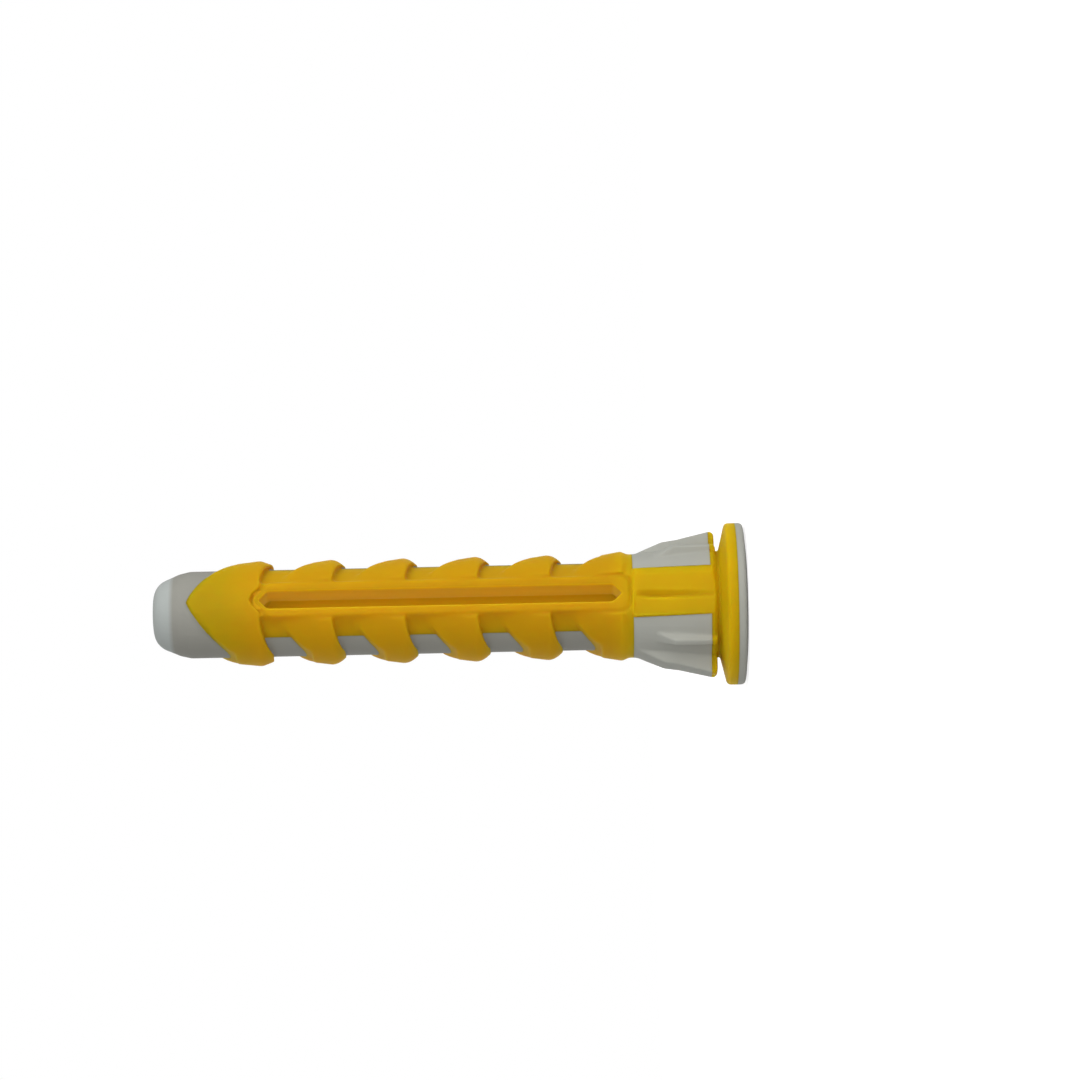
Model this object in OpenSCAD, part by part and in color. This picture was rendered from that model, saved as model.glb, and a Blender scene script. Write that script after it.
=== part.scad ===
// Universal wall plug moulded in two plastics: a grey core that carries the nose, the
// winged head and the outer face of the rim, and a yellow jacket over it that carries the
// chevron barbs, the two spreading slots, the neck and the back of the rim.
// The plug stands on the face of its rim: z = 0 is that face and +Z runs up to the nose.
// The slots face -Y and +Y, and the wings of the head point along -X and +X.

/* [Overall] */
// Length from the face of the rim to the end of the nose
plug_len = 60; // [57:0.5:66]
// Diameter of the shank between the barbs
shank_d = 8.8; // [8.5:0.1:9.1]
// Depth to which the jacket is let into the core
inlay_t = 0.8; // [0.5:0.05:1]
// Angle from the middle of a slot to the near edge of the jacket's let-in saddles
saddle_near = 50; // [40:1:56]
// Angle from the middle of a slot to the far edge of the saddles, on the other side
saddle_far = 66; // [56:1:70]
// Sides of a full circle
facets = 96; // [48:8:128]

/* [Rim] */
// Diameter of the rim
rim_d = 16.4; // [15.4:0.1:18]
// Diameter of the flat middle of the rim's face
rim_flat_d = 12; // [10:0.1:13]
// Height by which the face falls back from its flat middle to the edge
rim_dome = 0.18; // [0.05:0.01:0.3]
// Radius of the rim's rounded edges
rim_round = 0.4; // [0.2:0.05:0.5]
// Thickness of the grey outer disc
disc_t = 1; // [0.8:0.05:1.5]
// Thickness of the yellow inner disc at its edge
pad_t = 1.1; // [0.9:0.05:2]
// Rise of the inner disc's sloping back between its edge and the neck
pad_rise = 0.6; // [0.2:0.05:0.9]

/* [Head] */
// Diameter of the neck in the groove behind the rim
neck_d = 10.7; // [9.6:0.1:11]
// Width of the groove behind the rim
neck_gap = 0.35; // [0.3:0.05:1]
// Thickness of the yellow ring that closes the head
ring_t = 0.6; // [0.4:0.05:0.9]
// Length of the grey winged part of the head
head_len = 7.8; // [7:0.1:10]
// Diameter of the head's round body where it meets the ring
head_d = 11.8; // [11.4:0.1:12.2]
// Diameter across the two wings where they meet the ring
wing_d = 15; // [14:0.1:15.2]
// Diameter across the wings where the step of their crest begins
wing_step_d = 12.9; // [12.3:0.1:13]
// Diameter across the wings where the step ends
wing_swell_d = 13.4; // [13.1:0.1:13.7]
// Length of the plain root of a wing under the collar
wing_start = 0.3; // [0.2:0.1:0.8]
// Length of the wing's first flare, from the collar to the step
wing_flare = 3; // [2:0.1:3.4]
// Length of the step of the wing's crest
wing_step = 1.6; // [1:0.1:2]
// Width of a wing at its root
wing_root_w = 3.5; // [2.6:0.1:4]
// Width of a wing along its crest
wing_crest_w = 1.9; // [1.2:0.1:2.4]
// Diameter across the crests of the splines
spline_d = 12.9; // [12.5:0.1:13.2]
// Width of a spline at its root
spline_root_w = 2; // [1.4:0.1:2.2]
// Width of a spline along its crest
spline_crest_w = 0.6; // [0.3:0.05:0.8]
// Angle of a spline from the middle of the nearest slot
spline_angle = 53; // [48:1:56]
// Distance of the splines' upper ends from the collar
spline_start = 1.9; // [1:0.1:3]
// Length over which a spline rises to its full height
spline_flare = 2.2; // [1.4:0.1:3]
// Width of the yellow strip that runs down the head in line with each slot
strip_w = 5.05; // [4.4:0.05:5.4]
// Width of the flat crown of the strip
strip_crown_w = 3.4; // [2:0.1:3.8]
// Distance of the strip's crown from the middle plane of the plug at the collar
strip_start = 5.3; // [5.2:0.05:5.4]
// Distance of the strip's crown from the middle plane at the ring
strip_rise = 5.85; // [5.6:0.05:6]
// Height of the crown above the strip's long edges
strip_crown_h = 0.35; // [0.1:0.05:0.4]
// Depth of the crease below the strip's crown where it is deepest
crease_h = 0.7; // [0.4:0.05:0.8]
// Distance of the crease's deepest point from the collar
crease_start = 2.6; // [2:0.1:3]
// Angle between the sides of the crease
crease_angle = 74; // [50:1:80]
// Slope of the crease from its deepest point up to the collar
crease_rise = 13; // [8:0.5:16]
// Slope of the crease from its deepest point down to the ring
crease_tilt = 10; // [8:0.5:14]
// Angle by which the crease leans to the side on its way to the ring
crease_lean = 2.5; // [0:0.5:4]

/* [Barbs] */
// Diameter over the crests of the barbs
barb_d = 10.7; // [10.3:0.1:11]
// Number of barbs
barb_count = 6; // [4:1:7]
// Distance of the first crest from the end of the nose
first_crest = 10.9; // [10:0.1:12]
// Diameter over the crest of the last barb, next to the collar
last_barb_d = 11.1; // [10.7:0.1:11.3]
// Length of the collar between the head and the last crest
collar_len = 1.15; // [1.05:0.05:1.8]
// Diameter of the collar
collar_d = 10.5; // [10.1:0.05:10.6]
// Reach of a barb's leading edge ahead of its crest, in line with the slots
barb_lead = 5.9; // [4.5:0.1:6.2]
// Height of the leading edge above the shank at that reach
barb_lip = 0.15; // [0.1:0.01:0.4]
// Angle from the middle of a slot beyond which the barbs' edges run straight across
sweep_end = 72; // [64:1:80]
// Distance by which the leading edge falls back between a slot and that angle
barb_sweep = 3.8; // [3:0.05:4.4]
// Bend of that fall: 1 keeps it even, more puts it off towards the side
barb_bend = 1.45; // [1:0.05:2]
// Length of the ramp behind a crest
barb_heel = 2.6; // [2:0.1:3]
// Drop of the heel's cut behind the crest, in line with the slots
heel_drop = 0.05; // [0:0.05:0.4]
// Distance by which the heel's cut falls back between a slot and the side
heel_sweep = 1.25; // [0.8:0.05:1.8]
// Bend of the heel's fall
heel_bend = 2.6; // [1:0.1:3]
// Reach of the first barb's arrowhead ahead of its crest
arrow_lead = 7.3; // [6:0.1:7.8]
// Distance by which the arrowhead's edge falls back between a slot and the side
arrow_sweep = 4.8; // [4:0.1:5.6]
// Bend of the arrowhead's fall
arrow_bend = 1.2; // [1:0.05:1.8]

/* [Slots] */
// Width of a slot
slot_w = 1.75; // [1.3:0.05:2]
// Wall of the jacket beside a slot, inside the core
lining_t = 0.95; // [0.9:0.05:1]
// Wall of the jacket at the pointed ends of a slot
lining_end_t = 0.45; // [0.3:0.05:0.5]
// Width of the raised bed around a slot
bed_w = 3.46; // [3.1:0.02:3.8]
// Distance of the bed's flat top from the middle plane of the plug
bed_rise = 4.9; // [4.75:0.05:5]
// Width of the groove that runs round the bed where it crosses the barbs and the collar
bed_groove_w = 0.35; // [0.25:0.05:0.5]
// Depth of that groove below the bed's flat top
bed_groove_depth = 0.2; // [0.1:0.05:0.3]
// Distance of the groove from the head
bed_margin = 0.1; // [0.1:0.05:0.4]
// Reach of the bed's pointed end past the end of the slot
bed_point = 0.7; // [0.6:0.1:1.2]
// Radius of that point
bed_tip = 0.5; // [0.3:0.1:0.7]
// Corner radius of the bed's end at the collar
bed_corner = 0.8; // [0.4:0.1:1.2]

/* [Bore] */
// Diameter of the mouth of the bore
mouth_d = 6.8; // [6:0.1:8]
// Depth of the mouth's countersink
mouth_depth = 1.2; // [0.6:0.1:1.8]
// Diameter of the neck bore
neck_bore_d = 5.2; // [4.6:0.1:5.6]
// Length of the taper that ends the neck bore under the collar
taper_len = 2.5; // [1.5:0.1:3]
// Diameter of the guide bore between the slots
guide_d = 3.2; // [3:0.05:3.3]
// Diameter of the hole through the nose
nose_hole_d = 2.4; // [1.6:0.1:2.8]

/* [Nose] */
// Diameter of the flat end of the nose
nose_flat_d = 3.4; // [3:0.1:3.6]
// Radius of the nose's rounded edge
nose_round = 2; // [1.6:0.1:2]
// Slope of the nose's cone against the axis
nose_angle = 23; // [20:1:28]
// Diameter at which the cone runs into the shoulder
nose_break_d = 8.3; // [8:0.1:8.5]
// Length of the shoulder between the cone and the shank
shoulder_len = 1.1; // [0.8:0.1:1.6]

/* [Hidden] */
$fn = facets;
eps = 0.01;
margin = 1;
edge_offset = 0.05;
// Reach of the beds down into the strips of the head
bed_root = 0.2;
arc_steps = 6;
edge_steps = 8;
quarter = 90;
grey = "#9a9b92";
yellow = "#cf9a1e";

shank_r = shank_d / 2;
inlay_r = shank_r - inlay_t;
rim_r = rim_d / 2;
neck_r = neck_d / 2;
head_r = head_d / 2;
collar_r = collar_d / 2;
barb_r = barb_d / 2;
last_barb_r = last_barb_d / 2;
wing_r = wing_d / 2;
wing_step_r = wing_step_d / 2;
wing_swell_r = wing_swell_d / 2;
spline_r = spline_d / 2;
guide_r = guide_d / 2;
neck_bore_r = neck_bore_d / 2;
nose_flat_r = nose_flat_d / 2;
nose_break_r = nose_break_d / 2;
// Radius at which a swept edge winds round the plug
sweep_r = (shank_r + barb_r) / 2 + edge_offset;
outside = rim_r + margin;
strip_tilt = atan((strip_rise - strip_start) / (head_len + ring_t));

pad_edge_z = disc_t + pad_t;
groove_z = pad_edge_z + pad_rise;
ring_z = groove_z + neck_gap;
head_z = ring_z + ring_t;
ring_chamfer = ring_t / 2;
collar_z = head_z + head_len;
last_crest_z = collar_z + collar_len;
first_crest_z = plug_len - first_crest;
barb_pitch = (first_crest_z - last_crest_z) / (barb_count - 1);
wing_step_z = collar_z - wing_flare;
spline_z = collar_z - spline_start;
lining_tip = lining_end_t * sqrt(2);
guide_top_z = first_crest_z + lining_tip + inlay_t;
nose_arc_z = plug_len - nose_round;
nose_cone_r = nose_flat_r + nose_round * cos(nose_angle);
nose_cone_z = nose_arc_z + nose_round * sin(nose_angle);
nose_break_z = nose_cone_z - (nose_break_r - nose_cone_r) / tan(nose_angle);
shoulder_z = nose_break_z - shoulder_len;

// Points of an arc about [x, z] between two angles
function arc(x, z, r, from, to) =
    [for (i = [0 : arc_steps]) let (a = from + (to - from) * i / arc_steps)
        [x + r * cos(a), z + r * sin(a)]];

// Points of an edge that winds back from a slot and then runs straight across the side:
// it falls as an even helix where the bend is 1, and later and faster where it is more
function swept_edge(z, sweep, bend) = concat(
    [[-outside, z - sweep]],
    [for (i = [-edge_steps : edge_steps]) let (a = sweep_end * i / edge_steps)
        [sweep_r * sin(a), z - sweep * pow(abs(i) / edge_steps, bend)]],
    [[outside, z - sweep]]
);

function reversed(points) = [for (i = [len(points) - 1 : -1 : 0]) points[i]];

// Upright outline with a right-angled point at each end
function pointed(half_w, low, high) = [
    [0, low], [half_w, low + half_w], [half_w, high - half_w],
    [0, high], [-half_w, high - half_w], [-half_w, low + half_w]
];

// Stands a drawing in X and Z upright and gives it a thickness across the plug
module through(depth) {
    rotate([quarter, 0, 0]) linear_extrude(depth, center = true) children();
}

module on_both_sides() {
    for (turn = [0, 2 * quarter]) rotate(turn) children();
}

// Wedges that open towards the two slots
module slot_sectors() {
    reach = 2 * outside;
    on_both_sides()
        translate([0, 0, collar_z])
            linear_extrude(first_crest_z - collar_z)
                polygon([[0, 0], [-reach * sin(saddle_near), -reach * cos(saddle_near)],
                    [0, -2 * reach], [reach * sin(saddle_far), -reach * cos(saddle_far)]]);
}

// The let-in saddles, or the pockets for them in the core where they reach past the shank
module saddles(outer_r) {
    intersection() {
        translate([0, 0, collar_z]) difference() {
            cylinder(h = first_crest_z - collar_z, r = outer_r);
            translate([0, 0, -eps]) cylinder(h = first_crest_z - collar_z + 2 * eps, r = inlay_r);
        }
        slot_sectors();
    }
}

// Room for one strip of the head, from the bottom of its channel outwards
module strip_channels(outer) {
    on_both_sides()
        translate([-strip_w / 2, -outer, ring_z])
            cube([strip_w, outer - inlay_r, collar_z - ring_z]);
}

module wings() {
    intersection() {
        on_both_sides()
            translate([0, 0, ring_z])
                linear_extrude(collar_z - ring_z)
                    polygon([[inlay_r, -wing_root_w / 2], [shank_r, -wing_root_w / 2],
                        [wing_r, -wing_crest_w / 2], [wing_r, wing_crest_w / 2],
                        [shank_r, wing_root_w / 2], [inlay_r, wing_root_w / 2]]);
        rotate_extrude()
            polygon([[0, ring_z], [wing_r - ring_chamfer, ring_z], [wing_r, ring_z + ring_chamfer],
                [wing_r, head_z], [wing_swell_r, wing_step_z - wing_step],
                [wing_step_r, wing_step_z], [collar_r, collar_z - wing_start],
                [collar_r, collar_z], [0, collar_z]]);
    }
}

module splines() {
    intersection() {
        for (side = [spline_angle - quarter, quarter - spline_angle])
            on_both_sides()
                rotate(side) translate([0, 0, ring_z])
                    linear_extrude(spline_z - ring_z)
                        polygon([[inlay_r, -spline_root_w / 2], [shank_r, -spline_root_w / 2],
                            [spline_r, -spline_crest_w / 2], [spline_r, spline_crest_w / 2],
                            [shank_r, spline_root_w / 2], [inlay_r, spline_root_w / 2]]);
        rotate_extrude()
            polygon([[0, ring_z], [spline_r - ring_chamfer, ring_z],
                [spline_r, ring_z + ring_chamfer], [spline_r, spline_z - spline_flare],
                [collar_r, spline_z], [0, spline_z]]);
    }
}

// Keeps what lies between two heights
module between(low, high) {
    intersection() {
        children();
        translate([0, 0, low]) cylinder(h = high - low, r = outside);
    }
}

// The core with nothing cut out of it, as one turned form
module core_turning() {
    rotate_extrude()
        polygon(concat(
            [[0, 0], [rim_flat_d / 2, 0]],
            arc(rim_r - rim_round, rim_dome + rim_round, rim_round, -quarter, 0),
            [[rim_r, disc_t], [inlay_r, disc_t], [inlay_r, head_z], [head_r, head_z],
                [collar_r, collar_z], [shank_r, collar_z], [shank_r, shoulder_z],
                [nose_break_r, nose_break_z]],
            arc(nose_flat_r, nose_arc_z, nose_round, nose_angle, quarter),
            [[0, plug_len]]
        ));
}

module bore() {
    rotate_extrude()
        polygon([[0, -margin], [mouth_d / 2, -margin], [mouth_d / 2, 0],
            [neck_bore_r, mouth_depth],
            [neck_bore_r, collar_z - taper_len], [guide_r, collar_z],
            [guide_r, guide_top_z], [nose_hole_d / 2, guide_top_z + guide_r],
            [nose_hole_d / 2, plug_len + margin], [0, plug_len + margin]]);
}

// The jacket's filling of the windows in the core, or the windows themselves
module linings(depth) {
    through(depth)
        polygon(pointed(slot_w / 2 + lining_t, last_crest_z - lining_tip,
            first_crest_z + lining_tip));
}

// Ring of the neck, the back of the rim and the round part of the head's closing ring
module neck_turning() {
    rotate_extrude()
        polygon(concat(
            [[inlay_r, disc_t], [rim_r, disc_t]],
            arc(rim_r - rim_round, pad_edge_z - rim_round, rim_round, 0, quarter),
            [[neck_r, groove_z], [neck_r, ring_z], [head_r - ring_chamfer, ring_z],
                [head_r, ring_z + ring_chamfer], [head_r, head_z], [inlay_r, head_z]]
        ));
}

// Strips of the head under roofs that rise evenly from the collar to the ring's chamfer
module strips() {
    eaves_y = strip_crown_h * (strip_w - strip_crown_w / 2) / (strip_w / 2 - strip_crown_w / 2);
    difference() {
        intersection() {
            strip_channels(outside);
            rotate_extrude()
                polygon([[0, ring_z], [head_r - ring_chamfer, ring_z],
                    [outside, ring_z + outside - head_r + ring_chamfer],
                    [outside, collar_z], [0, collar_z]]);
            on_both_sides()
                translate([0, -strip_start, collar_z])
                    rotate([-strip_tilt, 0, 0])
                        linear_extrude(3 * head_len, center = true)
                            polygon([[-strip_w, eaves_y], [-strip_crown_w / 2, 0],
                                [strip_crown_w / 2, 0], [strip_w, eaves_y],
                                [strip_w, strip_start], [-strip_w, strip_start]]);
        }
        creases();
    }
}

// Long trough with sloping sides, tilted about its middle
module trough(tilt) {
    depth = 2 * crease_h;
    half_w = depth * tan(crease_angle / 2);
    rotate([tilt, 0, 0])
        linear_extrude(2 * head_len, center = true)
            polygon([[0, 0], [-half_w, -depth], [half_w, -depth]]);
}

// Creases in the middle of the strips, where two troughs meet: pointed at both ends
module creases() {
    crown_y = -strip_start - crease_start * tan(strip_tilt);
    on_both_sides()
        translate([0, crown_y + crease_h, collar_z - crease_start])
            rotate([0, crease_lean, 0])
                intersection() {
                    trough(-crease_tilt);
                    trough(crease_rise);
                }
}

module collar() {
    translate([0, 0, collar_z]) difference() {
        cylinder(h = collar_len, r = collar_r);
        translate([0, 0, -eps]) cylinder(h = collar_len + 2 * eps, r = shank_r);
    }
}

// One barb: a turned ramp cut along its front and its heel by two swept edges
module barb(z, crest_r, lead, sweep, bend) {
    intersection() {
        rotate_extrude()
            polygon([[shank_r, z - barb_heel], [crest_r, z], [shank_r + barb_lip, z + lead],
                [shank_r, z + lead]]);
        through(2 * outside)
            polygon(concat(swept_edge(z + lead, sweep, bend),
                reversed(swept_edge(z - heel_drop, heel_sweep, heel_bend))));
    }
}

module barbs() {
    barb(last_crest_z, last_barb_r, barb_lead, barb_sweep, barb_bend);
    for (i = [1 : barb_count - 2])
        barb(last_crest_z + i * barb_pitch, barb_r, barb_lead, barb_sweep, barb_bend);
    barb(first_crest_z, barb_r, arrow_lead, arrow_sweep, arrow_bend);
}

// Raised beds that carry the slots between the barbs
module beds() {
    floor_y = (shank_r + inlay_r) / 2 - inlay_t / 4;
    on_both_sides()
        translate([-bed_w / 2, -bed_rise, collar_z - bed_root])
            cube([bed_w, bed_rise - floor_y, first_crest_z - collar_z + bed_root]);
}

// Outline of a bed, widened all round: rounded at the collar, pointed towards the nose
module bed_outline(wider) {
    half_w = bed_w / 2 + wider;
    corner = bed_corner + wider;
    low_z = collar_z + bed_margin + bed_groove_w - wider;
    top_z = first_crest_z + bed_point + wider * sqrt(2);
    tip = bed_tip + wider;
    polygon(concat(
        arc(half_w - corner, low_z + corner, corner, -quarter, 0),
        [[half_w, top_z - half_w]],
        arc(0, top_z - tip * sqrt(2), tip, quarter / 2, 3 * quarter / 2),
        [[-half_w, top_z - half_w]],
        arc(corner - half_w, low_z + corner, corner, 2 * quarter, 3 * quarter)
    ));
}

// Cuts a drawing into both sides of the plug, down to a distance from its middle plane
module cut_down_to(rise) {
    depth = outside - rise;
    on_both_sides()
        translate([0, -rise - depth / 2, 0])
            through(depth) children();
}

// What is cut off the barbs and the collar above the flat top of each bed, and round it
module bed_cuts() {
    cut_down_to(bed_rise) bed_outline(bed_groove_w);
    cut_down_to(bed_rise - bed_groove_depth)
        difference() {
            bed_outline(bed_groove_w);
            bed_outline(0);
        }
}

// The slots, which open into the guide bore so that the plug can spread
module slots() {
    through(2 * outside) polygon(pointed(slot_w / 2, last_crest_z, first_crest_z));
}

module plug_core() {
    color(grey) difference() {
        union() {
            difference() {
                core_turning();
                strip_channels(outside);
                saddles(shank_r + margin);
            }
            between(head_z, collar_z) wings();
            between(head_z, collar_z) splines();
        }
        linings(2 * outside);
        bore();
    }
}

module barbed_jacket() {
    color(yellow) difference() {
        union() {
            neck_turning();
            between(ring_z, head_z) wings();
            between(ring_z, head_z) splines();
            strips();
            collar();
            saddles(shank_r);
            between(collar_z, plug_len) barbs();
            beds();
            linings(2 * bed_rise);
        }
        bed_cuts();
        slots();
        bore();
    }
}

plug_core();
barbed_jacket();
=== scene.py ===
"""Looks of the two-plastic wall plug: softened mouldings, satin plastics, pale stage."""

import math

import bmesh
import bpy
from bpy.props import FloatProperty, FloatVectorProperty, IntProperty, PointerProperty
from mathutils import Matrix, Vector
from mathutils.bvhtree import BVHTree
from mathutils.kdtree import KDTree


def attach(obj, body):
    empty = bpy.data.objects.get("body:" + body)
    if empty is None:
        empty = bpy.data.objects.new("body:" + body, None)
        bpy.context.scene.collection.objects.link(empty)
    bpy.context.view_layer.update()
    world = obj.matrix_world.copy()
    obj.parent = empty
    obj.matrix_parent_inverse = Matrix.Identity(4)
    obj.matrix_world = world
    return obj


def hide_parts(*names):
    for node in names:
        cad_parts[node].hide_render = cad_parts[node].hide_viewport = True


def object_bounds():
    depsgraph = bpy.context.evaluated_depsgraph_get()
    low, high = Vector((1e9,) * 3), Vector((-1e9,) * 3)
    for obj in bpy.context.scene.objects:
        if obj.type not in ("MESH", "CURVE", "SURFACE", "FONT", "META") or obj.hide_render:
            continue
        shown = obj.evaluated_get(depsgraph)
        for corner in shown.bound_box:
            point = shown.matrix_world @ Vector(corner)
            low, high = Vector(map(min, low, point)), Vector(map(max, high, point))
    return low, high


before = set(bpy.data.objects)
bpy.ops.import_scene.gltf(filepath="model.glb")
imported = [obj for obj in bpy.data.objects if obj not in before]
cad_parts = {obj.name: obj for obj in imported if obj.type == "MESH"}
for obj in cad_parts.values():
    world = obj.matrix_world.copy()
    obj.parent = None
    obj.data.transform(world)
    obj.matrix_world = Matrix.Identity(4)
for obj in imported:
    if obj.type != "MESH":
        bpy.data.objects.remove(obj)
CAD_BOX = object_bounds()
PLUG_LENGTH = CAD_BOX[1].z - CAD_BOX[0].z

bl_info = {
    "name": "Wall plug looks",
    "version": (1, 0, 0),
    "blender": (4, 5, 0),
    "location": "View3D > Sidebar > Wall plug",
    "description": "Builds the softened mouldings, plastics and stage of a two-plastic wall plug",
    "category": "Object",
}

MM = 0.001
# In metres: corners nearer than this are one, the floor lies this far below the rim's face,
# and the camera sees nothing nearer than this
MERGE = 1e-7
FLOOR_GAP = 2e-5
CAMERA_NEAR = 0.01
# All sizes from here on are in millimetres and degrees

# A face rests on the other plastic if it is this near and the two normals' product is lower
TOUCHING = 0.03
FACING = -0.9
# Steps along the line where the plastics meet, and how far at most a corner is moved to it
SEAM_STEP = 0.02
SEAM_REACH = 0.2
# Share of the way that a corner goes towards its neighbours in one pass of smoothing
SMOOTHING = 0.5
# The barbs lie between these heights, outside this radius and beside the slots' beds
BARBS_LOW = 12.2
BARBS_HIGH = 57
BARBS_INNER = 4.6
BED_HALF_WIDTH = 2.1
# Heights of the crests whose heels are rounded
BARB_CRESTS = (19.9, 27.2, 34.5, 41.8)
# Largest radius of a heel beside the slots, at several distances from its crest to the rim
HEEL_FALL = ((-0.3, 5.35), (0.0, 5.3), (0.4, 5.2), (0.85, 4.93), (1.15, 4.66), (1.45, 4.42))
# Angles from the middle of a slot between which the heels' rounding sets in
HEEL_FALL_FROM = 42
HEEL_FALL_FULL = 60
# The shank swells towards the beds: angles from the middle of a slot, its radii there, and
# how late the swelling sets in
SWELL_FROM = 50
SWELL_TO = 13.8
SWELL_RADII = (4.4, 5.04)
SWELL_BEND = 3
# Foot of the slots' beds: between these distances sideways, and inside this radius
BED_FOOT = (1.2, 3)
BED_FOOT_OUTER = 5.05
# Crown of the head's strips: its distance from the middle plane at two heights
CROWN = ((3.05, 5.85), (11.45, 5.3))
CROWN_HALF_WIDTH = 2.4
# Crease along the crown, at several heights: depth, width of its long flank, place sideways
CREASE_DEPTH = (
    (2.8, 0.15), (4.2, 0.32), (5.7, 0.48), (8.8, 0.66), (9.8, 0.7), (10.8, 0.45), (11.2, 0),
)
CREASE_FLANK = ((2.8, 0.4), (5.7, 0.55), (9.8, 0.65), (11.2, 0.4))
CREASE_MIDDLE = ((2.8, -0.72), (9.8, -0.52), (11.2, -0.3))
# Short flank: its width, the depth it ends at and the fall of the crown beyond it
CREASE_LIP = (0.15, 0.12, 0.15)
# Depth below the crown down to which the crease is drawn
CREASE_REACH = 0.9
# Above this height and within this distance sideways, the skin is raised to the crease too
CREASE_FILL_FROM = 3.7
CREASE_FILL_WITHIN = 1.6
# Room of the slots: half its width, its outer edge and its ends, and the bore between them
SLOT_HALF_WIDTH = 0.95
SLOT_OUTER = 4.85
SLOT_ENDS = (12.1, 49.6)
BORE_RADIUS = 1.75
# Painted glow and painted lighter colour inside the slots, in place of light through their
# walls: its share at their outer edge, and the depth over which it would grow by a full share
PAINTED_SLOT_GLOW_LEAST = 0.5
PAINTED_SLOT_GLOW_DEPTH = 4
# Heights at which a plastic's tone starts to change and has fully changed
# The shank's darker tone is painted shade between the barbs
SHANK_PAINTED_SHADE_TONE = (11.4, 12.5)
# The nose's paler, bluer tone is a painted highlight on its cone
NOSE_PAINTED_HIGHLIGHT_TONE = (57.8, 58.3)
HEAD_TONE = (14, 11.5)
ARROWHEAD_TONE = (49.5, 53)
# Noise of the tone and the grain: detail of each, and the part of the tone's that counts
TONE_DETAIL = 4
GRAIN_DETAIL = 3
TONE_SPAN = (0.3, 0.7)
# Radius of the floor in lengths of the plug, and its number of sides
FLOOR_REACH = 6
FLOOR_SIDES = 64
CORE_NODE = "plug_core"
JACKET_NODE = "barbed_jacket"


# Sizes and colours a user would change


class PlugMouldSettings(bpy.types.PropertyGroup):
    """How far the moulded edges are softened, and how finely the mouldings are meshed"""

    cell: FloatProperty(
        name="Mesh cell",
        description="Size of the cells in which the moulding is meshed anew",
        default=0.12 * MM,
        unit="LENGTH",
    )
    softening: IntProperty(
        name="Softening",
        description="Passes of smoothing that round the moulded edges",
        default=4,
    )
    barb_softening: IntProperty(
        name="Barb softening",
        description="Further passes that round the barbs",
        default=6,
    )
    bed_softening: IntProperty(
        name="Bed softening",
        description="Further passes that hollow out the foot of the slots' beds",
        default=40,
    )


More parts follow.
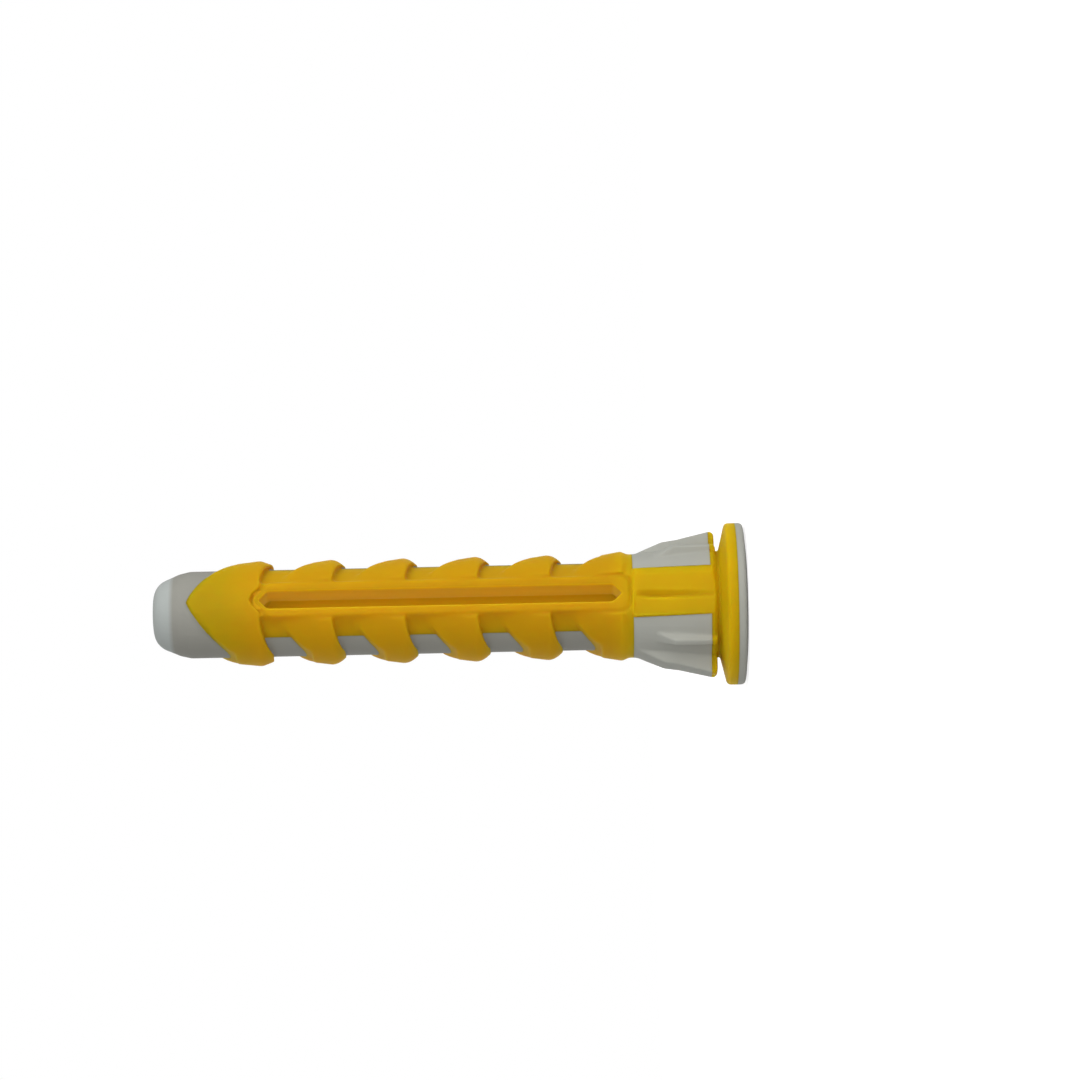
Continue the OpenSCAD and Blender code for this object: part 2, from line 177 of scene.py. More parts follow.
class PlugFinishSettings(bpy.types.PropertyGroup):
    """Colours and gloss of the two plastics"""

    yellow: FloatVectorProperty(
        name="Yellow",
        description="Colour of the jacket's plastic",
        subtype="COLOR",
        size=3,
        default=(0.53, 0.29, 0.003),
    )
    grey: FloatVectorProperty(
        name="Grey",
        description="Colour of the core's plastic",
        subtype="COLOR",
        size=3,
        default=(0.4, 0.405, 0.365),
    )
    # Darker colour of the shank: painted shade between the barbs
    shank: FloatVectorProperty(
        name="Shank painted shade",
        description="Colour of the core between the barbs and up to the nose",
        subtype="COLOR",
        size=3,
        default=(0.285, 0.281, 0.25),
    )
    lemon: FloatVectorProperty(
        name="Lemon",
        description="Colour of the jacket on the head and the rim",
        subtype="COLOR",
        size=3,
        default=(0.6, 0.375, 0.003),
    )
    arrowhead: FloatVectorProperty(
        name="Arrowhead",
        description="Colour of the jacket on the first barb",
        subtype="COLOR",
        size=3,
        default=(0.45, 0.295, 0.003),
    )
    # Paler, bluer colour of the nose's cone: a painted highlight
    nose: FloatVectorProperty(
        name="Nose",
        description="Colour of the core on the nose's cone",
        subtype="COLOR",
        size=3,
        default=(0.39, 0.415, 0.4),
    )
    # Painted light: a lighter colour inside the slots that brightens their shade
    slot_wall_painted_light: FloatVectorProperty(
        name="Slot wall painted light",
        description="Colour of the jacket inside the slots",
        subtype="COLOR",
        size=3,
        default=(0.7, 0.43, 0.01),
    )
    # Painted glow inside the slots, given off as emission in place of light through the walls
    painted_slot_glow: FloatVectorProperty(
        name="Painted slot glow",
        description="Light that comes through the jacket inside the slots",
        subtype="COLOR",
        size=3,
        default=(0.1, 0.068, 0.002),
    )
    gloss: FloatProperty(
        name="Gloss",
        description="How much light the surface mirrors",
        default=0.05,
        subtype="FACTOR",
    )
    grey_seam: FloatVectorProperty(
        name="Grey seam",
        description="Tint of the core's plastic where it meets the jacket",
        subtype="COLOR",
        size=3,
        default=(0.9, 0.92, 0.8),
    )
    yellow_seam: FloatVectorProperty(
        name="Yellow seam",
        description="Tint of the jacket's plastic where it meets the core",
        subtype="COLOR",
        size=3,
        default=(0.8, 0.84, 0.7),
    )
    seam_width: FloatProperty(
        name="Seam width",
        description="Width over which each plastic darkens towards the other",
        default=0.15 * MM,
        unit="LENGTH",
    )
    roughness: FloatProperty(
        name="Roughness",
        description="Roughness of the satin mould finish",
        default=0.55,
        subtype="FACTOR",
    )
    roughness_spread: FloatProperty(
        name="Roughness spread",
        description="How much rougher the finish is in places",
        default=0.12,
        subtype="FACTOR",
    )
    grain_size: FloatProperty(
        name="Grain size",
        description="Size of the fine texture left by the mould",
        default=0.12 * MM,
        unit="LENGTH",
    )
    grain_strength: FloatProperty(
        name="Grain strength",
        description="Strength of that texture",
        default=0.15,
        subtype="FACTOR",
    )
    grain_depth: FloatProperty(
        name="Grain depth",
        description="Depth of that texture",
        default=0.01 * MM,
        unit="LENGTH",
    )
    tone_size: FloatProperty(
        name="Tone size",
        description="Size of the patches in which the colour's tone changes",
        default=4 * MM,
        unit="LENGTH",
    )
    tone_depth: FloatProperty(
        name="Tone depth",
        description="How much darker the colour is in places",
        default=0.05,
        subtype="FACTOR",
    )
    light_inside: FloatProperty(
        name="Light inside",
        description="Share of the light that enters the yellow plastic",
        default=0.8,
        subtype="FACTOR",
    )
    light_reach: FloatProperty(
        name="Light reach",
        description="How far light gets inside the yellow plastic at most",
        default=4 * MM,
        unit="LENGTH",
    )
    light_shares: FloatVectorProperty(
        name="Light shares",
        description="Share of that reach which red, green and blue light have",
        size=3,
        default=(1, 0.5, 0.1),
    )


class PlugStageSettings(bpy.types.PropertyGroup):
    """Where the camera stands and how the light falls"""

    turn: FloatProperty(
        name="Turn",
        description="Angle of the camera round the plug's axis, from the middle of a slot",
        default=math.radians(-17.5),
        subtype="ANGLE",
    )
    tilt: FloatProperty(
        name="Tilt",
        description="Angle by which the plug's axis rises in the picture",
        default=math.radians(1.2),
        subtype="ANGLE",
    )
    distance: FloatProperty(
        name="Distance",
        description="Distance of the camera from the plug",
        default=420 * MM,
        unit="LENGTH",
    )
    frame_width: FloatProperty(
        name="Frame width",
        description="Width of the picture at the plug",
        default=109.6 * MM,
        unit="LENGTH",
    )
    offset: FloatVectorProperty(
        name="Offset",
        description="Place of the picture's middle, right of and above the plug's middle",
        size=2,
        default=(9.15 * MM, 7.08 * MM),
        subtype="TRANSLATION",
    )
    light_from: FloatVectorProperty(
        name="Light from",
        description="Where most light comes from: right, up and towards the camera",
        size=3,
        default=(-0.1, 0.58, 0.81),
        subtype="DIRECTION",
    )
    key_light: FloatProperty(
        name="Key light",
        description="Light from there, over the light from all round",
        default=2.9,
    )
    opposite_light: FloatProperty(
        name="Opposite light",
        description="How far the light from the opposite direction comes up to the key light",
        default=0.78,
        subtype="FACTOR",
    )
    focus: FloatProperty(
        name="Focus",
        description="How closely the key light is gathered about its direction",
        default=2.5,
    )
    fill_light: FloatProperty(
        name="Fill light",
        description="Light from all round",
        default=0.18,
    )
    floor_tone: FloatProperty(
        name="Floor tone",
        description="How much of the light on it the floor gives back to the plug",
        default=0.9,
        subtype="FACTOR",
    )
    shadow_tone: FloatProperty(
        name="Shadow tone",
        description="Part of the floor's white that the plug's shadow takes away where it is seen",
        default=0.5,
        subtype="FACTOR",
    )
    floor_glow: FloatProperty(
        name="Floor glow",
        description="Part of the floor's white that no shadow takes away where it is seen",
        default=0.8,
    )


# Mouldings


def node_surface(node_name):
    """A node's surface in millimetres, with its vertices merged"""
    bm = bmesh.new()
    bm.from_mesh(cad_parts[node_name].data)
    bmesh.ops.remove_doubles(bm, verts=bm.verts, dist=MERGE)
    bmesh.ops.scale(bm, vec=(1 / MM,) * 3, verts=bm.verts)
    bm.normal_update()
    return bm


def remeshed(bm, cell):
    """The closed volume of a mesh, covered anew with even cells"""
    mesh = bpy.data.meshes.new("even_cells")
    bm.to_mesh(mesh)
    holder = bpy.data.objects.new("even_cells", mesh)
    bpy.context.scene.collection.objects.link(holder)
    evenly = holder.modifiers.new("Even cells", "REMESH")
    evenly.mode = "VOXEL"
    evenly.voxel_size = cell
    graph = bpy.context.evaluated_depsgraph_get()
    even_mesh = bpy.data.meshes.new_from_object(holder.evaluated_get(graph))
    even = bmesh.new()
    even.from_mesh(even_mesh)
    bpy.data.objects.remove(holder)
    bpy.data.meshes.remove(mesh)
    bpy.data.meshes.remove(even_mesh)
    return even


def soften(bm, verts, passes):
    """Rounds a mesh at some of its corners"""
    for _ in range(passes):
        bmesh.ops.smooth_vert(
            bm, verts=verts, factor=SMOOTHING, use_axis_x=True, use_axis_y=True, use_axis_z=True
        )
    bm.normal_update()


def between_points(points, at):
    """Value at a place on a line of straight pieces, level beyond its ends"""
    places, values = zip(*points)
    if at <= places[0]:
        return values[0]
    for index in range(1, len(points)):
        if at <= places[index]:
            share = (at - places[index - 1]) / (places[index] - places[index - 1])
            return values[index - 1] + share * (values[index] - values[index - 1])
    return values[-1]


def round_heels(verts):
    """Lets the barbs' heels fall off in a curve beside the slots"""
    for vert in verts:
        x, y, z = vert.co
        crest = min(BARB_CRESTS, key=lambda height: abs(height - z))
        angle = math.degrees(math.atan2(abs(x), abs(y)))
        share = (angle - HEEL_FALL_FROM) / (HEEL_FALL_FULL - HEEL_FALL_FROM)
        if share > 0 and HEEL_FALL[0][0] < crest - z < HEEL_FALL[-1][0]:
            radius = math.hypot(x, y)
            over = radius - between_points(HEEL_FALL, crest - z)
            if over > 0:
                kept = 1 - min(1, share) * over / radius
                vert.co = (kept * x, kept * y, z)


def swell_shank(verts):
    """Lets the shank rise in a hollow curve to the beds of the slots"""
    for vert in verts:
        x, y, z = vert.co
        angle = math.degrees(math.atan2(abs(x), abs(y)))
        if SWELL_TO < angle < SWELL_FROM and BARBS_LOW < z < SLOT_ENDS[1]:
            share = ((SWELL_FROM - angle) / (SWELL_FROM - SWELL_TO)) ** SWELL_BEND
            low, high = SWELL_RADII
            radius = math.hypot(x, y)
            wanted = low + share * (high - low)
            if low - TOUCHING < radius < wanted:
                vert.co = (x * wanted / radius, y * wanted / radius, z)


def crease_depth(sideways, z):
    """Depth of the crease, with a long flank on one side of its bottom and a lip on the other"""
    deepest = between_points(CREASE_DEPTH, z)
    away = sideways - between_points(CREASE_MIDDLE, z)
    if away > 0:
        return deepest * max(0, 1 - away / between_points(CREASE_FLANK, z))
    width, lip, fall = CREASE_LIP
    if -away < width:
        return deepest + (lip - deepest) * -away / width
    return lip + fall * (-away - width)


def shape_creases(verts):
    """Draws the crease along the crown of both strips, over the closing ring"""
    shaped = []
    for vert in verts:
        x, y, z = vert.co
        crown = between_points(CROWN, z)
        if abs(x) < CROWN_HALF_WIDTH and CREASE_DEPTH[0][0] < z < CROWN[1][0]:
            if 0 < crown - CREASE_REACH < abs(y):
                side = math.copysign(1, y)
                drawn = crown - crease_depth(-side * x, z)
                if z < CREASE_FILL_FROM or abs(x) > CREASE_FILL_WITHIN:
                    drawn = min(drawn, abs(y))
                vert.co.y = side * drawn
                shaped.append(vert)
    return shaped


def is_in_slot(place):
    """Whether a place lies in the room of the slots and the bore between them"""
    x, y, z = place
    between_walls = abs(x) < SLOT_HALF_WIDTH and abs(y) < SLOT_OUTER
    return SLOT_ENDS[0] < z < SLOT_ENDS[1] and (between_walls or math.hypot(x, y) < BORE_RADIUS)


def is_at_bed_foot(vert):
    """Whether a corner lies where a slot's bed rises from the shank"""
    x, y, z = vert.co
    return (
        BARBS_LOW < z < BARBS_HIGH
        and BED_FOOT[0] < abs(x) < BED_FOOT[1]
        and math.hypot(x, y) < BED_FOOT_OUTER
    )


def is_on_barb(vert):
    """Whether a corner lies on a barb, beside the beds"""
    x, y, z = vert.co
    return (
        BARBS_LOW < z < BARBS_HIGH
        and abs(x) > BED_HALF_WIDTH
        and math.hypot(x, y) > BARBS_INNER
    )


def common_skin(core, jacket, settings):
    """One softened skin over both plastics, so that they meet without a gap"""
    both = core.copy()
    jacket_mesh = bpy.data.meshes.new("jacket_surface")
    jacket.to_mesh(jacket_mesh)
    both.from_mesh(jacket_mesh)
    bpy.data.meshes.remove(jacket_mesh)
    skin = remeshed(both, settings.cell / MM)
    both.free()
    soften(skin, skin.verts, settings.softening)
    barbs = [vert for vert in skin.verts if is_on_barb(vert)]
    round_heels(barbs)
    soften(skin, barbs, settings.barb_softening)
    swell_shank(skin.verts)
    feet = [vert for vert in skin.verts if is_at_bed_foot(vert)]
    soften(skin, feet, settings.bed_softening)
    soften(skin, shape_creases(skin.verts), settings.softening)
    return skin


def lies_against(face, tree):
    """Whether a face rests on the surface in a tree"""
    _, normal, _, distance = tree.find_nearest(face.calc_center_median())
    return distance < TOUCHING and normal.dot(face.normal) < FACING


def open_faces(bm, tree):
    """Search tree of the faces that don't rest on the other plastic, and the edges they end at"""
    covered = {face for face in bm.faces if lies_against(face, tree)}
    open_list = [face for face in bm.faces if face not in covered]
    corners = [vert.co for vert in bm.verts]
    polygons = [[vert.index for vert in face.verts] for face in open_list]
    ends = [e for e in bm.edges if len({f in covered for f in e.link_faces}) == 2]
    return BVHTree.FromPolygons(corners, polygons), ends


def seam_samples(edges):
    """Closely spaced points along the line where the plastics meet"""
    points = []
    for edge in edges:
        start, end = (vert.co for vert in edge.verts)
        steps = max(1, math.ceil((end - start).length / SEAM_STEP))
        points += [start.lerp(end, i / steps) for i in range(steps)]
    tree = KDTree(len(points))
    for index, point in enumerate(points):
        tree.insert(point, index)
    tree.balance()
    return tree


def share_out(skin, core_tree, jacket_tree):
    """Marks each face of the skin with the plastic that it shows"""
    is_jacket = skin.faces.layers.int.new("is_jacket")
    for face in skin.faces:
        middle = face.calc_center_median()
        to_core = core_tree.find_nearest(middle)[3]
        to_jacket = jacket_tree.find_nearest(middle)[3]
        face[is_jacket] = to_jacket < to_core or is_in_slot(middle)
    return is_jacket


def straighten_seam(skin, is_jacket, seam):
    """Moves the skin's vertices between the plastics onto the line where these meet"""
    surface = BVHTree.FromBMesh(skin)
    moves = []
    for vert in skin.verts:
        if len({face[is_jacket] for face in vert.link_faces}) == 2:
            on_seam, _, distance = seam.find(vert.co)
            if distance < SEAM_REACH:
                moves.append((vert, surface.find_nearest(on_seam)[0]))
    for vert, place in moves:
        vert.co = place


def skin_with_marks(settings):
    """The common skin with what the pieces and their plastics need to know at each point"""
    core, jacket = node_surface(CORE_NODE), node_surface(JACKET_NODE)
    skin = common_skin(core, jacket, settings)
    core_tree = BVHTree.FromBMesh(core)
    jacket_tree, ends = open_faces(jacket, core_tree)
    seam = seam_samples(ends)
    is_jacket = share_out(skin, core_tree, jacket_tree)
    outward = skin.verts.layers.float_vector.new("outward")
    from_seam = skin.verts.layers.float.new("from_seam")
    # Share of the painted glow and painted lighter colour inside the slots, growing with depth
    slot_painted_light_share = skin.verts.layers.float.new("slot_painted_light_share")
    for vert in skin.verts:
        vert[outward] = vert.normal
    straighten_seam(skin, is_jacket, seam)
    for vert in skin.verts:
        vert[from_seam] = seam.find(vert.co)[2]
        # Painted light inside the slots, stronger deeper in
        if is_in_slot(vert.co):
            deeper = (SLOT_OUTER - abs(vert.co.y)) / PAINTED_SLOT_GLOW_DEPTH
            vert[slot_painted_light_share] = min(1, PAINTED_SLOT_GLOW_LEAST + deeper)
    core.free()
    jacket.free()
    return skin


def piece_of_skin(skin, wanted, name):
    """The part of the skin that shows one plastic, as an object"""
    bm = skin.copy()
    layer = bm.faces.layers.int["is_jacket"]
    others = [face for face in bm.faces if face[layer] != wanted]
    bmesh.ops.delete(bm, geom=others, context="FACES")
    bmesh.ops.scale(bm, vec=(MM,) * 3, verts=bm.verts)
    mesh = bpy.data.meshes.new(name)
    bm.to_mesh(mesh)
    bm.free()
    mesh.shade_smooth()
    normals = [tuple(at_vert.vector) for at_vert in mesh.attributes["outward"].data]
    mesh.normals_split_custom_set_from_vertices(normals)
    mesh.attributes.remove(mesh.attributes["outward"])
    mesh.attributes.remove(mesh.attributes["is_jacket"])
    piece = bpy.data.objects.new(name, mesh)
    bpy.context.scene.collection.objects.link(piece)
    return piece


# Nodes


def emptied_tree(owner):
    """The node tree of a material or a world, with nothing in it"""
    owner.use_nodes = True
    owner.node_tree.nodes.clear()
    return owner.node_tree


def feed(tree, end, value):
    """Sets a node's input to a value, or links another node's output to it"""
    if isinstance(value, bpy.types.NodeSocket):
        tree.links.new(value, end)
    else:
        end.default_value = value


def calculated(tree, operation, *values):
    """Result of a sum on numbers and other nodes' outputs"""
    node = tree.nodes.new("ShaderNodeMath")
    node.operation = operation
    for end, value in zip(node.inputs, values):
        feed(tree, end, value)
    return node.outputs["Value"]


def ranged(tree, value, starts, full, low=0, high=1):
    """Goes from the low value to the high one while another goes from its start to full"""
    node = tree.nodes.new("ShaderNodeMapRange")
    ends = {"Value": value, "From Min": starts, "From Max": full, "To Min": low, "To Max": high}
    for label, given in ends.items():
        feed(tree, node.inputs[label], given)
    return node.outputs["Result"]


def blended(tree, share, first, second, blend="MIX"):
    """Two colours, mixed or multiplied"""
    node = tree.nodes.new("ShaderNodeMix")
    node.data_type = "RGBA"
    node.blend_type = blend
    for label, given in (("Factor", share), ("A", first), ("B", second)):
        feed(tree, node.inputs[label], given)
    return node.outputs["Result"]


def noise(tree, size, detail):
    """Noise in patches of about one size, fixed to the piece"""
    place = tree.nodes.new("ShaderNodeTexCoord")
    node = tree.nodes.new("ShaderNodeTexNoise")
    node.inputs["Detail"].default_value = detail
    feed(tree, node.inputs["Vector"], place.outputs["Object"])
    feed(tree, node.inputs["Scale"], calculated(tree, "DIVIDE", 1, size))
    return node.outputs["Fac"]


def marked(tree, name):
    """A number that the mesh holds at each point"""
    node = tree.nodes.new("ShaderNodeAttribute")
    node.attribute_name = name
    return node.outputs["Fac"]


# Effects that both plastics share


def new_group(name, inputs, outputs):
    """The node group of an effect, with what it is given and what it makes"""
    group = bpy.data.node_groups.new(name, "ShaderNodeTree")
    for in_out, ends in (("INPUT", inputs), ("OUTPUT", outputs)):
        for label, kind in ends.items():
            group.interface.new_socket(label, in_out=in_out, socket_type=f"NodeSocket{kind}")
    given = group.nodes.new("NodeGroupInput").outputs
    made = group.nodes.new("NodeGroupOutput").inputs
    return group, given, made


def mould_grain(name):
    """Fine mould grain and slow changes of tone and roughness"""
    group, given, made = new_group(
        name,
        {
            "Colour": "Color", "Tone size": "Float", "Tone depth": "Float",
            "Roughness": "Float", "Roughness spread": "Float", "Grain size": "Float",
        },
        {"Colour": "Color", "Roughness": "Float", "Height": "Float"},
    )
    tone = noise(group, given["Tone size"], TONE_DETAIL)
    lowest = calculated(group, "SUBTRACT", 1, given["Tone depth"])
    level = ranged(group, tone, *TONE_SPAN, lowest)
    spread = given["Roughness spread"]
    rougher = calculated(group, "MULTIPLY_ADD", tone, spread, given["Roughness"])
    feed(group, made["Colour"], blended(group, 1, given["Colour"], level, "MULTIPLY"))
    feed(group, made["Roughness"], rougher)
    feed(group, made["Height"], noise(group, given["Grain size"], GRAIN_DETAIL))


def end_tone(name):
    """Another tone of the colour beyond some height, blended in along the plug"""
    group, given, made = new_group(
        name,
        {"Colour": "Color", "End colour": "Color", "Starts": "Float", "Full": "Float"},
        {"Colour": "Color"},
    )
    place = group.nodes.new("ShaderNodeTexCoord")
    height = group.nodes.new("ShaderNodeSeparateXYZ")
    feed(group, height.inputs["Vector"], place.outputs["Object"])
    share = ranged(group, height.outputs["Z"], given["Starts"], given["Full"])
    feed(group, made["Colour"], blended(group, share, given["Colour"], given["End colour"]))


def seam_line(name):
    """Darkens the colour towards the line where the two plastics meet"""
    group, given, made = new_group(
        name, {"Colour": "Color", "Seam tint": "Color", "Width": "Float"}, {"Colour": "Color"}
    )
    near = ranged(group, marked(group, "from_seam"), 0, given["Width"], 1, 0)
    tinted = blended(group, near, given["Colour"], given["Seam tint"], "MULTIPLY")
    feed(group, made["Colour"], tinted)


def painted_slot_glow(name):
    """Painted lighter colour inside the slots, and a painted glow in place of light through their
    walls
    """
    group, given, made = new_group(
        name,
        {"Colour": "Color", "Slot painted light colour": "Color", "Painted slot glow": "Color"},
        {"Colour": "Color", "Light": "Color"},
    )
    inside = marked(group, "slot_painted_light_share")
    feed(group, made["Colour"], blended(group, inside, given["Colour"], given["Slot painted light colour"]))
    feed(group, made["Light"], blended(group, inside, (0, 0, 0, 1), given["Painted slot glow"]))


def add_effect(tree, effect, values):
    """A shared effect in a material's tree, with its inputs set by name"""
    name = effect.__name__
    if name not in bpy.data.node_groups:
        effect(name)
    node = tree.nodes.new("ShaderNodeGroup")
    node.node_tree = bpy.data.node_groups[name]
    for label, value in values.items():
        node.inputs[label].default_value = value
    return node


# Plastics


def satin_plastic(name, colour, seam_tint, changes, finish):
    """Satin plastic, whose colour goes through its changes, the seam and then the grain"""
    material = bpy.data.materials.new(name)
    tree = emptied_tree(material)
    seam = {"Seam tint": (*seam_tint, 1), "Width": finish.seam_width / MM}
    grain = {
        "Tone size": finish.tone_size, "Tone depth": finish.tone_depth,
        "Roughness": finish.roughness, "Roughness spread": finish.roughness_spread,
        "Grain size": finish.grain_size,
    }
    effects = (*changes, (seam_line, seam), (mould_grain, grain))
    steps = [add_effect(tree, effect, values) for effect, values in effects]
    steps[0].inputs["Colour"].default_value = (*colour, 1)
    for before, after in zip(steps, steps[1:]):
        feed(tree, after.inputs["Colour"], before.outputs["Colour"])
    made = steps[-1].outputs
    bump = tree.nodes.new("ShaderNodeBump")
    bump.inputs["Strength"].default_value = finish.grain_strength
    bump.inputs["Distance"].default_value = finish.grain_depth
    feed(tree, bump.inputs["Height"], made["Height"])
    shader = tree.nodes.new("ShaderNodeBsdfPrincipled")
    shader.inputs["Specular IOR Level"].default_value = finish.gloss
    feed(tree, shader.inputs["Base Color"], made["Colour"])
    feed(tree, shader.inputs["Roughness"], made["Roughness"])
    feed(tree, shader.inputs["Normal"], bump.outputs["Normal"])
    out = tree.nodes.new("ShaderNodeOutputMaterial")
    feed(tree, out.inputs["Surface"], shader.outputs["BSDF"])
    return material, shader, steps


def change_of_tone(colour, heights):
    """The end tone of a plastic, between two heights in millimetres"""
    starts, full = heights
    return end_tone, {"End colour": (*colour, 1), "Starts": starts * MM, "Full": full * MM}


def grey_plastic(finish):
    """Grey, darker along the shank as painted shade between the barbs, paler and bluer on the
    nose's cone as a painted highlight
    """
    changes = (change_of_tone(finish.shank, SHANK_PAINTED_SHADE_TONE), change_of_tone(finish.nose, NOSE_PAINTED_HIGHLIGHT_TONE))
    return satin_plastic(
        "grey_satin_plastic", finish.grey, finish.grey_seam, changes, finish
    )[0]


def yellow_plastic(finish):
    """Yellow, more lemon on the head and the arrowhead, with some light let through, and painted
    light inside the slots
    """
    # Painted lighter colour and painted glow inside the slots
    slots = {"Slot painted light colour": (*finish.slot_wall_painted_light, 1), "Painted slot glow": (*finish.painted_slot_glow, 1)}
    changes = (
        (painted_slot_glow, slots),
        change_of_tone(finish.lemon, HEAD_TONE),
        change_of_tone(finish.arrowhead, ARROWHEAD_TONE),
    )
    material, shader, steps = satin_plastic(
        "yellow_satin_plastic", finish.yellow, finish.yellow_seam, changes, finish
    )
    # The painted glow inside the slots, as emission
    feed(material.node_tree, shader.inputs["Emission Color"], steps[0].outputs["Light"])
    shader.inputs["Emission Strength"].default_value = 1
    shader.inputs["Subsurface Weight"].default_value = finish.light_inside
    shader.inputs["Subsurface Radius"].default_value = finish.light_shares
    shader.inputs["Subsurface Scale"].default_value = finish.light_reach
    return material


# Stage


def picture_axes(stage):
    """Right, up and towards the camera, for the plug lying with its nose at the left"""
    towards = Vector((math.sin(stage.turn), -math.cos(stage.turn), 0))
    along = Vector((0, 0, -1))
    across = towards.cross(along)
    right = math.cos(stage.tilt) * along - math.sin(stage.tilt) * across
    up = math.sin(stage.tilt) * along + math.cos(stage.tilt) * across
    return right, up, towards


def make_camera(stage):
    """The camera, level with the plug's middle and shifted as the photograph is framed"""
    right, up, towards = picture_axes(stage)
    middle = (CAD_BOX[0] + CAD_BOX[1]) / 2
    aim = middle + stage.offset[0] * right + stage.offset[1] * up
    data = bpy.data.cameras.new("camera")
    camera = bpy.data.objects.new("camera", data)
    bpy.context.scene.collection.objects.link(camera)
    data.lens = data.sensor_width * stage.distance / stage.frame_width
    data.clip_start = CAMERA_NEAR
    turned = Matrix((right, up, towards)).transposed().to_4x4()
    camera.matrix_world = Matrix.Translation(aim + stage.distance * towards) @ turned
    bpy.context.scene.camera = camera


def light_strength(tree, stage):
    """Strength of the world's light from each direction"""
    bright = Matrix(picture_axes(stage)).transposed() @ Vector(stage.light_from)
    place = tree.nodes.new("ShaderNodeTexCoord")
    side = tree.nodes.new("ShaderNodeVectorMath")
    side.operation = "DOT_PRODUCT"
    side.inputs[1].default_value = bright.normalized()
    feed(tree, side.inputs[0], place.outputs["Generated"])
    front = side.outputs["Value"]
    back = calculated(tree, "MULTIPLY", front, -stage.opposite_light)
    facing = calculated(tree, "MAXIMUM", front, back)
    gathered = calculated(tree, "POWER", facing, stage.focus)
    return calculated(tree, "MULTIPLY_ADD", gathered, stage.key_light, stage.fill_light)


def lit_or_seen(tree, lit, seen, out_kind):
    """Shows one shader to the light on the plug, and another directly or in a reflection"""
    rays = tree.nodes.new("ShaderNodeLightPath").outputs
    direct = calculated(tree, "MAXIMUM", rays["Is Camera Ray"], rays["Is Glossy Ray"])
    direct = calculated(tree, "MAXIMUM", direct, rays["Is Transmission Ray"])
    choose = tree.nodes.new("ShaderNodeMixShader")
    for end, value in zip(choose.inputs, (direct, lit, seen)):
        feed(tree, end, value)
    out = tree.nodes.new(out_kind)
    feed(tree, out.inputs["Surface"], choose.outputs["Shader"])


def white_world(stage):
    """White wherever it is seen, and a wide soft light on the plug's front and back"""
    world = bpy.data.worlds.new("studio")
    bpy.context.scene.world = world
    tree = emptied_tree(world)
    lit = tree.nodes.new("ShaderNodeBackground")
    feed(tree, lit.inputs["Strength"], light_strength(tree, stage))
    seen = tree.nodes.new("ShaderNodeBackground")
    for background in (lit, seen):
        background.inputs["Color"].default_value = (1, 1, 1, 1)
    lit_or_seen(tree, lit.outputs[0], seen.outputs[0], "ShaderNodeOutputWorld")


def white_floor(stage):
    """White where it is seen, with the plug's shadow left as a soft grey"""
    material = bpy.data.materials.new("white_floor")
    tree = emptied_tree(material)
    lit = tree.nodes.new("ShaderNodeBsdfDiffuse")
    lit.inputs["Color"].default_value = (*[stage.floor_tone] * 3, 1)
    shaded = tree.nodes.new("ShaderNodeBsdfDiffuse")
    shaded.inputs["Color"].default_value = (*[stage.shadow_tone] * 3, 1)
    glow = tree.nodes.new("ShaderNodeEmission")
    glow.inputs["Strength"].default_value = stage.floor_glow
    seen = tree.nodes.new("ShaderNodeAddShader")
    feed(tree, seen.inputs[0], shaded.outputs[0])
    feed(tree, seen.inputs[1], glow.outputs[0])
    lit_or_seen(tree, lit.outputs[0], seen.outputs[0], "ShaderNodeOutputMaterial")
    return material


def make_floor(stage):
    """A wide round floor under the rim's face"""
    bm = bmesh.new()
    bmesh.ops.create_circle(
        bm, cap_ends=True, segments=FLOOR_SIDES, radius=FLOOR_REACH * PLUG_LENGTH,
        matrix=Matrix.Translation((0, 0, CAD_BOX[0].z - FLOOR_GAP)),
    )
    mesh = bpy.data.meshes.new("floor")
    bm.to_mesh(mesh)
    bm.free()
    floor = bpy.data.objects.new("floor", mesh)
    bpy.context.scene.collection.objects.link(floor)
    mesh.materials.append(white_floor(stage))


# Operators


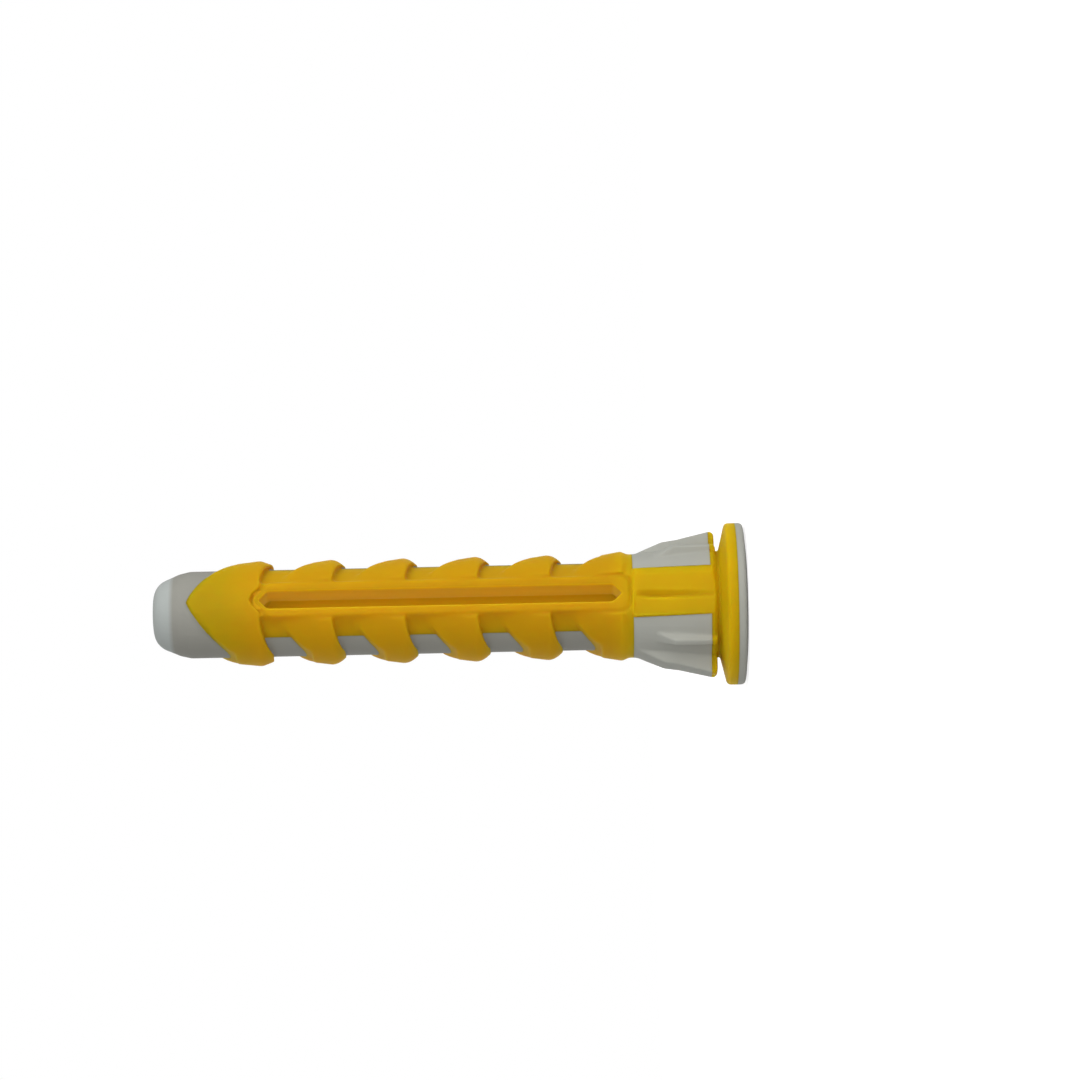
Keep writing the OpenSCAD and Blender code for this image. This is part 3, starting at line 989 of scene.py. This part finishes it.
class OBJECT_OT_plug_mouldings(bpy.types.Operator):
    """Build the grey core and the yellow jacket from one softened skin"""

    bl_idname = "object.wall_plug_mouldings"
    bl_label = "Core and jacket"
    bl_options = {"REGISTER", "UNDO"}

    def execute(self, context):
        finish = context.scene.plug_finish
        skin = skin_with_marks(context.scene.plug_mould)
        parts = (
            (0, "grey_core", grey_plastic(finish), CORE_NODE, "grey_plastic"),
            (1, "yellow_jacket", yellow_plastic(finish), JACKET_NODE, "yellow_plastic"),
        )
        for wanted, name, plastic, node, slot in parts:
            piece = piece_of_skin(skin, wanted, name)
            piece.data.materials.append(plastic)
            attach(piece, "root")
            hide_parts(node)
        skin.free()
        return {"FINISHED"}


class OBJECT_OT_plug_stage(bpy.types.Operator):
    """Set up the floor, the light and the camera"""

    bl_idname = "object.wall_plug_stage"
    bl_label = "Stage"
    bl_options = {"REGISTER", "UNDO"}

    def execute(self, context):
        stage = context.scene.plug_stage
        make_floor(stage)
        white_world(stage)
        make_camera(stage)
        context.scene.view_settings.view_transform = "Standard"
        return {"FINISHED"}


class VIEW3D_PT_wall_plug(bpy.types.Panel):
    """Lists the plug's builders in the sidebar"""

    bl_label = "Wall plug"
    bl_idname = "VIEW3D_PT_wall_plug"
    bl_space_type = "VIEW_3D"
    bl_region_type = "UI"
    bl_category = "Wall plug"

    def draw(self, context):
        layout = self.layout
        for builder in BUILDERS:
            layout.operator(builder.bl_idname)
        for group in ("plug_mould", "plug_finish", "plug_stage"):
            settings = getattr(context.scene, group)
            box = layout.box()
            for field in settings.__annotations__:
                box.prop(settings, field)


BUILDERS = (OBJECT_OT_plug_mouldings, OBJECT_OT_plug_stage)
SETTINGS = {
    "plug_mould": PlugMouldSettings,
    "plug_finish": PlugFinishSettings,
    "plug_stage": PlugStageSettings,
}


def register():
    for cls in (*SETTINGS.values(), *BUILDERS, VIEW3D_PT_wall_plug):
        bpy.utils.register_class(cls)
    for name, cls in SETTINGS.items():
        setattr(bpy.types.Scene, name, PointerProperty(type=cls))


def unregister():
    for name in SETTINGS:
        delattr(bpy.types.Scene, name)
    for cls in reversed((*SETTINGS.values(), *BUILDERS, VIEW3D_PT_wall_plug)):
        bpy.utils.unregister_class(cls)


def main():
    register()
    bpy.ops.object.wall_plug_mouldings()
    bpy.ops.object.wall_plug_stage()


if __name__ == "__main__":
    main()
